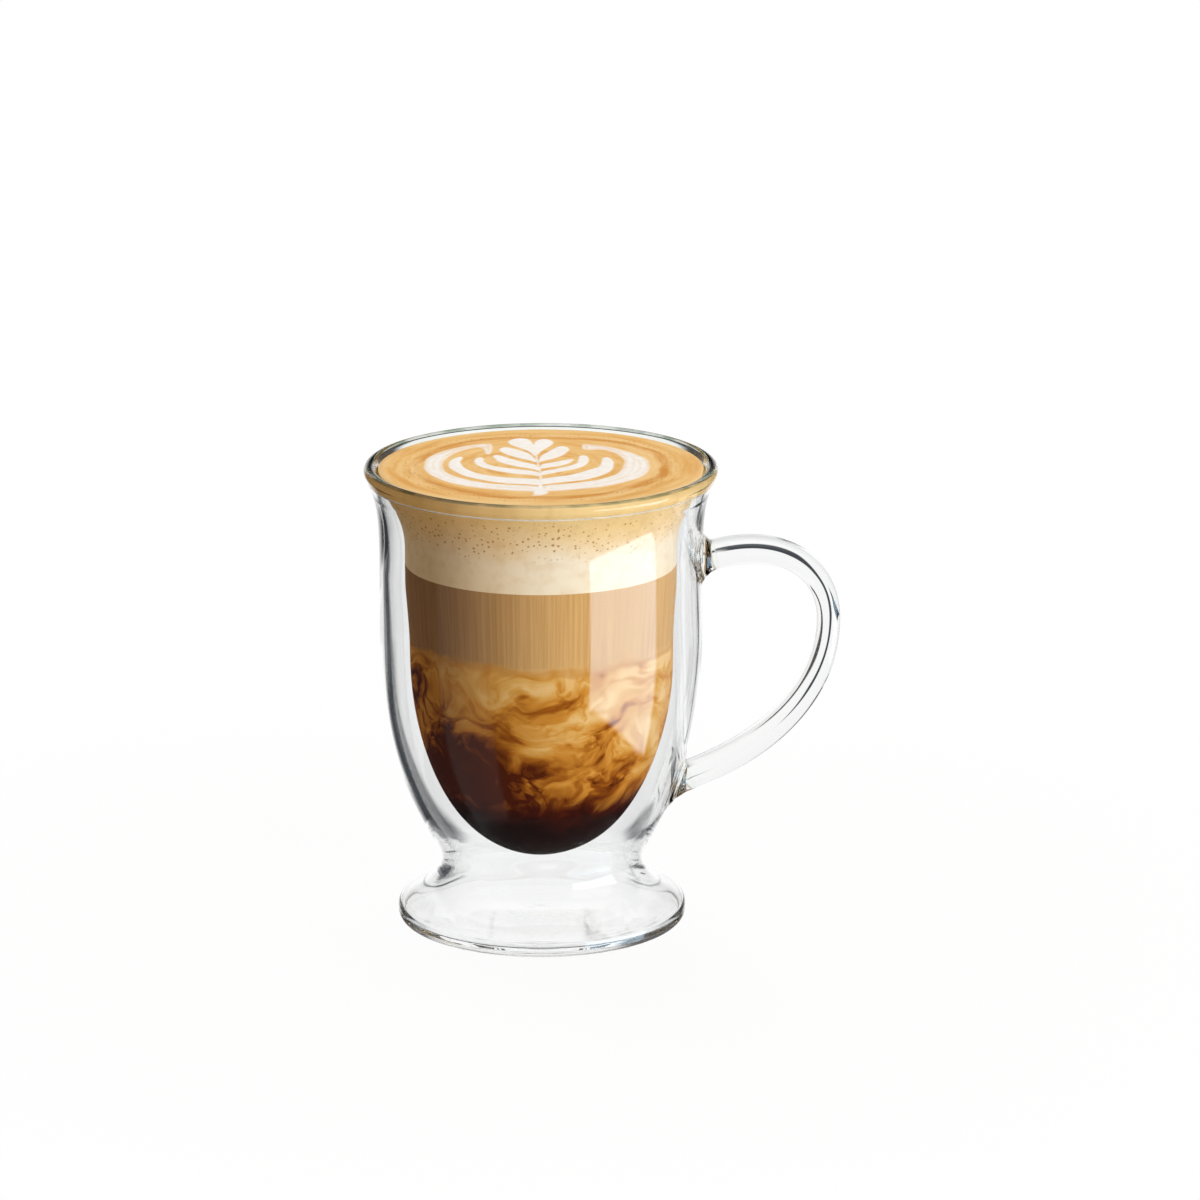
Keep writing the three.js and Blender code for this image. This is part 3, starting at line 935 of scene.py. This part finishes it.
LEAVES = (
    ((-1, -67), (-12, -65), (-27, -62), (-42, -55), (-55, -45), (-65, -35), (-73, -20), (-78, -7),
     (-79, 5), (-78, 15), (-75, 25), (-70, 32), (-68, 28), (-70, 14), (-68, 0), (-64, -12), (-57, -24),
     (-46, -34), (-35, -40), (-22, -44), (-10, -46), (-2, -50)),
    ((-1, -36), (-9, -32), (-20, -29), (-32, -22), (-42, -14), (-50, -5), (-55, 5), (-57, 15),
     (-56, 24), (-53, 30), (-50, 26), (-50, 17), (-47, 7), (-40, -2), (-30, -8), (-18, -14), (-8, -19),
     (-2, -25)),
    ((-1, -17), (-10, -9), (-20, -3), (-28, 5), (-36, 15), (-39, 25), (-41, 33), (-39, 38), (-35, 36),
     (-30, 29), (-24, 22), (-17, 14), (-8, 6), (-3, -2)),
    ((-4, 13), (-11, 21), (-19, 28), (-26, 36), (-32, 45), (-35, 54), (-35, 61), (-32, 66), (-28, 65),
     (-22, 59), (-16, 52), (-11, 44), (-8, 34), (-5, 22)),
    ((-5, 36), (-9, 49), (-14, 59), (-22, 70), (-27, 80), (-28, 88), (-24, 96), (-18, 99), (-12, 96),
     (-9, 88), (-7, 76), (-5, 60)),
    ((1, -65), (13, -60), (27, -55), (38, -49), (49, -38), (57, -25), (61, -12), (62, 1), (62, 13),
     (60, 24), (57, 29), (54, 26), (53, 15), (52, 3), (49, -7), (43, -14), (35, -24), (25, -34),
     (13, -40), (3, -46), (0, -51)),
    ((1, -32), (10, -26), (20, -19), (30, -11), (37, 0), (40, 11), (41, 22), (40, 31), (37, 36),
     (34, 33), (33, 22), (32, 11), (28, 3), (21, -5), (12, -13), (3, -19), (0, -24)),
    ((0, -10), (8, -5), (16, 0), (22, 6), (26, 14), (28, 22), (24, 22), (21, 19), (15, 15), (8, 10),
     (2, 5), (0, -2)),
    ((-2, 11), (1, 16), (8, 23), (14, 30), (19, 39), (22, 48), (24, 57), (23, 65), (19, 69), (15, 67),
     (11, 59), (7, 50), (3, 41), (0, 31), (-1, 20)),
    ((-4, 38), (-1, 49), (3, 60), (7, 70), (10, 79), (10, 87), (7, 93), (2, 96), (-3, 91), (-5, 83),
     (-6, 72), (-5, 58)),
)
STEM = ((-6, 64), (-4.6, 30), (-2.8, 0), (-1.2, -30), (-1.4, -60), (1, -60), (0.6, -30), (-1.2, 0),
        (-3, 30), (-4.6, 64))
DRIP = ((-1.5, -60), (-2, -72), (-4, -84), (-6, -92), (-6, -99), (-8, -106), (-2, -105), (3, -101),
        (6, -95), (4, -86), (1.5, -72), (1, -60))


def round_through(points):
    """A closed outline in millimetres that runs smoothly through the points."""
    here = np.array(points, float) * ART_RADIUS / 100 + ART_CENTRE
    last, after, beyond = np.roll(here, 1, 0), np.roll(here, -1, 0), np.roll(here, -2, 0)
    return np.concatenate([
        cubic(b, b + (c - a) / 6, c - (d - b) / 6, c, 3)[:-1]
        for a, b, c, d in zip(last, here, after, beyond)
    ])


def depth_inside(spots, outline):
    """Distance from each spot to the outline, negative outside it."""
    nearest = np.full(len(spots), 1e9)
    inside = np.zeros(len(spots), bool)
    x, y = spots[:, 0], spots[:, 1]
    for a, b in zip(outline, np.roll(outline, -1, 0)):
        edge = b - a
        if not edge.any():
            continue
        away = spots - a
        share = np.clip(away @ edge / (edge @ edge), 0, 1)
        nearest = np.minimum(nearest, np.hypot(*(away - share[:, None] * edge).T))
        if a[1] != b[1]:
            crossing = a[0] + (y - a[1]) * edge[0] / edge[1]
            inside ^= ((a[1] > y) != (b[1] > y)) & (x < crossing)
    return np.where(inside, nearest, -nearest)


def poured(spots, points, low, high):
    """A poured outline's milk: 0 at depth low and 1 at depth high inside it."""
    return ease(depth_inside(spots, round_through(points)), low, high)


def milk_amount(spots):
    """How much white milk lies at each spot of the surface, 0 to 1."""
    y = spots[:, 1]
    amount = np.zeros(len(spots))
    for points in RINGS:
        depth = depth_inside(spots, round_through(points))
        bent = depth + 0.3 * np.sin(y * 0.22 + 1.0)
        lines = 0.5 + 0.5 * np.cos(bent * 2 * math.pi / LINE_SPACING)
        thinner = 1 - 0.22 * ease(y, 6.0, 18.0)
        amount = np.maximum(amount, ease(depth, -0.8, 0.8) * (0.6 + 0.34 * lines) * thinner)
    for points in LEAVES:
        amount = np.maximum(amount, poured(spots, points, -0.7, 0.5))
    amount = np.maximum(amount, 0.6 * poured(spots, STEM, -0.4, 0.2))
    drip = 0.9 * poured(spots, DRIP, -0.7, 0.6) * (1 - 0.5 * ease(-y, 26.0, 30.0))
    return np.maximum(amount, drip)


def close_corners(keep):
    """Fills the grid's cells where two kept ones would touch at a corner alone."""
    for _ in range(CORNER_PASSES):
        a, b, c, d = keep[:-1, :-1], keep[:-1, 1:], keep[1:, :-1], keep[1:, 1:]
        crossed = (a == d) & (b == c) & (a != b)
        for cell in (a, b, c, d):
            cell |= crossed


def latte_art(material):
    """The rosetta as a thin raised sheet of milk, thickest where it is whitest."""
    line = np.arange(-ART_SPAN, ART_SPAN + ART_PITCH / 2, ART_PITCH)
    count = len(line)
    x, y = np.meshgrid(line, line)
    spots = np.stack([x.ravel(), y.ravel()], 1)
    milk = milk_amount(spots)
    corner = np.arange(count * count).reshape(count, count)
    quads = np.stack([corner[:-1, :-1], corner[:-1, 1:], corner[1:, 1:], corner[1:, :-1]], -1)
    quads = quads.reshape(-1, 4)
    keep = (milk[quads] > LEAST_MILK).any(1).reshape(count - 1, count - 1)
    close_corners(keep)
    used, renumbered = np.unique(quads[keep.ravel()], return_inverse=True)
    quads = renumbered.reshape(-1, 4)
    spots, milk, total = spots[used], milk[used], len(used)
    rise = MILK_RISE[0] + MILK_RISE[1] * ease(milk, 0.0, 1.0)
    top = np.column_stack([spots, DRINK_LEVEL + rise])
    bottom = np.column_stack([spots, np.full(total, DRINK_LEVEL - MILK_DEPTH)])
    sides = np.concatenate([quads[:, [0, 1]], quads[:, [1, 2]], quads[:, [2, 3]], quads[:, [3, 0]]])
    back = {(b, a) for a, b in sides.tolist()}
    border = [(a, b) for a, b in sides.tolist() if (a, b) not in back]
    faces = quads.tolist() + (quads[:, ::-1] + total).tolist()
    faces += [[b, a, a + total, b + total] for a, b in border]
    piece = add_mesh("latte_art_milk", np.vstack([top, bottom]), faces, [material])
    layer = piece.data.attributes.new("milk", "FLOAT", "POINT")
    layer.data.foreach_set("value", np.concatenate([milk, milk]).astype(np.float32))
    return piece


for piece, node in (
    (glass_wall(), "outer_shell"),
    (glass_bell(), "inner_bell"),
    (glass_lip(), "lip_bead"),
    (glass_base(), "base_disc"),
    (glass_vent_seal(), "vent_seal"),
    (strap(), "handle_strap"),
    (weld("glass_upper_weld", top_start, top_outward, seed=0.7), "handle_upper_weld"),
    (weld("glass_lower_weld", low_start, low_outward, seed=2.1), "handle_lower_weld"),
):
    show(piece, "mug", node)

espresso = side_material("espresso", coffee_colour)
show(espresso_bowl("drink_espresso", LAYERS["espresso"][1], espresso), "drink", "espresso")
for name, node, colour in (
    ("drink_marbled", "marbled_coffee", coffee_colour),
    ("drink_milk_coffee", "milk_coffee", coffee_colour),
    ("drink_milk_foam", "milk_foam", foam_colour),
):
    show(drink_layer(name, *LAYERS[node], side_material(node, colour)), "drink", node)
show(crema_disc("drink_crema", *LAYERS["crema"], crema_material()), "drink", "crema")
show(latte_art(art_material()), "drink", "latte_art")


# Studio: a white floor with dark cards that only glass shows, a world for reflections, lamps and a camera

SLATE = (0.06, 0.066, 0.075, 1)
PAPER = (0.85, 0.85, 0.85, 1)
PAPER_BOUNCE = (0.45, 0.42, 0.37, 1)
FLOOR_SIZE = 6000.0
FLOOR_LEVEL = -0.2
FOOT_GLOW = (8.0, 37.0, 40.0)

WARM = (1, 0.8, 0.6, 1)
WINDOW_COLOUR = (0.7, 1, 1.26, 1)
WINDOW_LEVEL = 5.1
STRIP_LEVEL = 0.25
MIRRORED_LEAST = 0.03
REFRACTED_LEAST = 0.15
REFRACTED_ABOVE = 0.2
DIFFUSE_LEVEL = 0.22

# Name, azimuth, elevation, distance, size and level
LAMPS = (
    ("key_right", 43, 12, 1.2, 0.5, 0.94),
    ("top", 180, 78, 1.0, 0.7, 0.47),
    ("fill_back", 205, 30, 1.2, 0.6, 0.42),
)
LAMP_AIM = Vector((0, 0, 0.07))

# The camera fitted to the photo, in degrees and metres
CAMERA_DOWN = 16.115
CAMERA_DISTANCE = 1.5075
CAMERA_AIM_HEIGHT = 0.059
CAMERA_TILT = 0.8675
CAMERA_PAN = -0.5834
CAMERA_LENS = 179.54


def dark_cards(g, path, x, y, reach, past):
    """Cards on the floor that draw the edges of glass, each by the edges between which it is dark."""
    wide = g.math("ABSOLUTE", x)
    near = g.product(g.span(g.math("SUBTRACT", x, reach), -6.0, 2.0), g.span(x, 49.0, 43.0),
                     g.span(y, 78.0, 62.0))
    slant = g.math("DIVIDE", g.math("SUBTRACT", x, 40.0), g.highest(y, 1.0))
    far = g.product(g.band(slant, 0.37, 0.41, 0.46, 0.5), g.span(y, 70.0, 100.0))
    back = g.product(g.span(wide, 36.0, 30.0), g.band(y, 208.0, 222.0, 252.0, 268.0))
    # Seen only through one piece of solid glass, such as the handle
    solid = g.math("LESS_THAN", path["Transmission Depth"], 2.5)
    side = g.product(g.band(x, 56.0, 60.0, 74.0, 80.0), g.band(y, 205.0, 222.0, 330.0, 345.0), solid)
    front = g.product(g.band(y, -85.0, -60.0, -15.0, 10.0), g.span(wide, 56.0, 46.0))
    # Reflections inside the glass see a dark room in front of the mug and at its left
    inner = g.math("GREATER_THAN", path["Glossy Depth"], 0.5)
    room = g.product(inner, g.highest(g.span(y, 10.0, -15.0), g.span(past, 0.0, -10.0)))
    return g.highest(near, far, back, side, front, room)


def floor_material():
    """White to the camera, and to glass but for the dark cards. Mirrored rays pass the floor and see
    the world instead."""
    material, g = new_graph("white_sweep")
    _, x, y, _ = g.place()
    path = g.node("ShaderNodeLightPath").outputs
    paper = g.mix(path["Is Diffuse Ray"], PAPER, PAPER_BOUNCE)
    matt = g.shader("ShaderNodeBsdfDiffuse", {"Color": paper})
    white = g.shader("ShaderNodeEmission", {"Color": WHITE, "Strength": 1.0})
    seen = g.product(path["Is Camera Ray"], g.span(g.distance(x, y), 90.0, 260.0, 0.95, 1.0))
    beyond = g.shader("ShaderNodeBsdfTransparent", {"Color": WHITE})
    mirrored = g.either(path["Is Glossy Ray"], g.either(seen, matt, white), beyond)
    # How far the white reaches at each side, which widens with the distance
    distant = g.highest(g.math("SUBTRACT", y, 50.0), 0.0)
    reach = g.total(g.product(y, 0.06), 28.5, g.product(distant, 0.46))
    past = g.total(x, reach)
    left = g.highest(g.span(past, 0.0, 10.0), g.span(past, -75.0, -100.0))
    clear = g.math("SUBTRACT", 1.0, dark_cards(g, path, x, y, reach, past), clamp=True)
    back, full, none = FOOT_GLOW
    under = g.span(g.distance(x, g.math("SUBTRACT", y, back)), none, full)
    shade = g.mix(g.highest(g.product(left, clear), under), SLATE, WHITE)
    backing = g.shader("ShaderNodeEmission", {"Color": shade, "Strength": 1.0})
    g.finish(g.either(path["Is Transmission Ray"], mirrored, backing))
    material.cycles.emission_sampling = "NONE"
    return material


def studio_world():
    """White to the camera. Mirrored rays see a window at the right, a strip at the left, light from above
    and a bright back; refracted rays see the back and the window. Angles are in degrees."""
    world = bpy.data.worlds.new("studio")
    bpy.context.scene.world = world
    world.use_nodes = True
    g = Graph(world.node_tree)
    direction = g.node("ShaderNodeTexCoord").outputs["Generated"]
    x, y, z = g.node("ShaderNodeSeparateXYZ", {"Vector": direction}).outputs
    turn = g.product(g.turn(x, y), 180 / math.pi)
    rise = g.product(g.math("ARCSINE", z), 180 / math.pi)
    sill = g.span(turn, 35.0, 80.0, -23.0, -31.0, smooth=False)
    window = g.product(g.band(turn, 34.0, 36.0, 88.0, 92.0),
                       g.span(g.math("SUBTRACT", rise, sill), -1.0, 1.0), g.span(rise, 40.0, 36.0))
    strip = g.product(g.band(turn, -82.0, -76.0, -40.0, -34.0), g.span(rise, -60.0, -50.0))
    above = g.span(rise, 38.0, 62.0)
    behind = g.product(g.span(g.math("ABSOLUTE", turn), 150.0, 165.0), g.span(rise, 15.0, 5.0))
    pane = g.product(window, g.span(rise, 3.0, -3.0))
    mirrored = g.total(g.product(pane, WINDOW_LEVEL), g.product(strip, STRIP_LEVEL), above, behind,
                       MIRRORED_LEAST)
    back = g.product(g.highest(g.span(turn, 136.0, 146.0), g.span(turn, -150.0, -162.0)),
                     g.span(rise, 42.0, 24.0))
    refracted = g.math("MINIMUM", g.total(back, window, g.product(above, REFRACTED_ABOVE),
                                          REFRACTED_LEAST), 1.0)
    path = g.node("ShaderNodeLightPath").outputs
    level = g.blend(path["Is Camera Ray"], DIFFUSE_LEVEL, 1.0)
    level = g.blend(path["Is Glossy Ray"], level, mirrored)
    level = g.blend(path["Is Transmission Ray"], level, refracted)
    colour = g.mix(path["Is Diffuse Ray"], WHITE, WARM)
    colour = g.mix(g.product(pane, path["Is Glossy Ray"]), colour, WINDOW_COLOUR)
    sky = g.shader("ShaderNodeBackground", {"Color": colour, "Strength": level})
    g.node("ShaderNodeOutputWorld", {"Surface": sky})


def studio_floor():
    sides = ((-1, -1), (1, -1), (1, 1), (-1, 1))
    corners = [(x * FLOOR_SIZE, y * FLOOR_SIZE, FLOOR_LEVEL) for x, y in sides]
    sweep = add_mesh("studio_floor", corners, [[0, 1, 2, 3]], [floor_material()])


def lamp(name, azimuth, elevation, distance, size, level):
    """An area lamp that lights the drink like a white card of that level; azimuth runs from the camera
    to the right."""
    turn, rise = math.radians(azimuth), math.radians(elevation)
    out = Vector((math.sin(turn) * math.cos(rise), -math.cos(turn) * math.cos(rise), math.sin(rise)))
    data = bpy.data.lights.new(name, "AREA")
    data.shape = "DISK"
    data.size = size
    data.energy = level * math.pi * math.pi * distance ** 2
    made = add_object(name, data)
    made.location = LAMP_AIM + out * distance
    made.rotation_euler = out.to_track_quat("Z", "Y").to_euler()
    made.visible_camera = False
    made.visible_glossy = False
    made.visible_transmission = False


def camera():
    """The photo's view: from the front and a little above, with the mug low in the frame."""
    down = math.radians(CAMERA_DOWN)
    data = bpy.data.cameras.new("camera")
    data.sensor_width = 36.0
    data.lens = CAMERA_LENS
    data.clip_start = 0.1
    data.clip_end = 100.0
    made = add_object("camera", data)
    made.location = Vector((
        0, -CAMERA_DISTANCE * math.cos(down), CAMERA_AIM_HEIGHT + CAMERA_DISTANCE * math.sin(down),
    ))
    made.rotation_euler = (math.radians(90 - CAMERA_DOWN + CAMERA_TILT), 0, math.radians(CAMERA_PAN))
    bpy.context.scene.camera = made


studio_floor()
studio_world()
for settings in LAMPS:
    lamp(*settings)
camera()

scene = bpy.context.scene
scene.view_settings.view_transform = "Standard"
scene.cycles.max_bounces = 40
scene.cycles.transmission_bounces = 40
scene.cycles.glossy_bounces = 24
scene.cycles.transparent_max_bounces = 40
scene.cycles.caustics_reflective = False
scene.cycles.caustics_refractive = False
